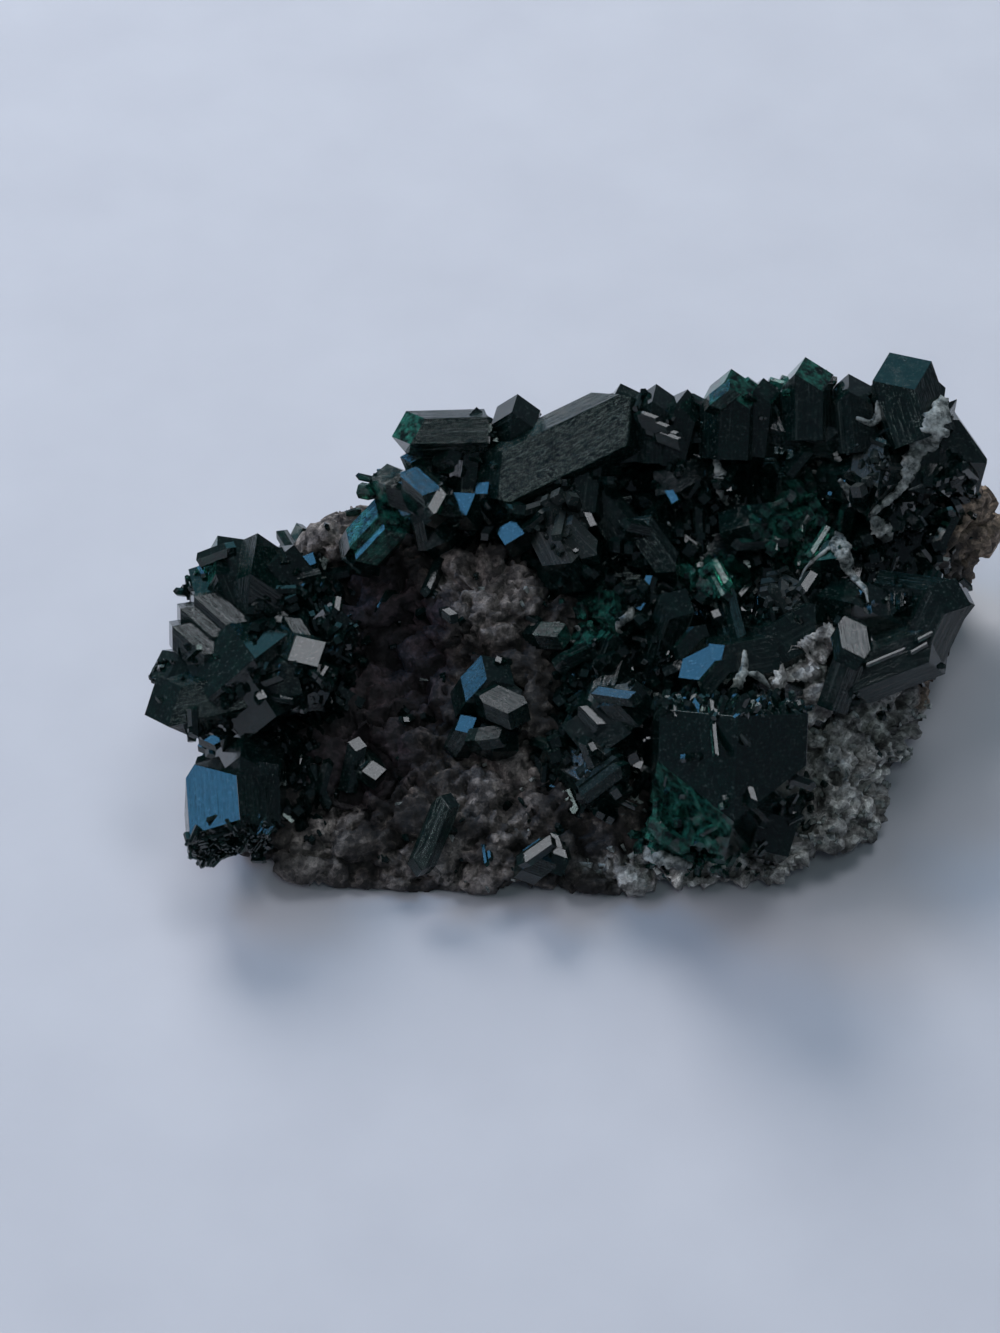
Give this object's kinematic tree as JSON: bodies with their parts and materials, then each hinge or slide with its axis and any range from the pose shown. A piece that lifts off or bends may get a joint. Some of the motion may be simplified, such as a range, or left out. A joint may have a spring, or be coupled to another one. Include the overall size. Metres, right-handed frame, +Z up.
{
  "type": "dioptase specimen",
  "caption": "Wedge of pale brown matrix rock whose top and front are grown over with dark green prismatic dioptase crystals, with white calcite seams.",
  "frame": {"origin": "centre of the bounding box's footprint, on the surface that the specimen rests on", "axes": "+X to the right along the specimen's length, +Y towards the back, +Z up"},
  "size_m": [0.0786, 0.051, 0.0299],
  "materials": {
    "dioptase": "clear to nearly black green, vitreous, with growth lines along the prisms",
    "calcite": "white, waxy and slightly translucent",
    "matrix": "dull, grainy, mottled from grey-white to reddish brown"
  },
  "bodies": {
    "root": {"matrix_rock": "matrix", "main_crystal_mass": "dioptase", "left_lobe_crystals": "dioptase", "large_front_crystals": "dioptase", "corner_crystals": "dioptase", "centre_facet_crystals": "dioptase", "hollow_edge_crystals": "dioptase", "front_blade_crystal": "dioptase", "front_leaf_crystals": "dioptase", "back_crystals": "dioptase", "upper_calcite_seam": "calcite", "corner_calcite_seam": "calcite"}
  },
  "joints": []
}
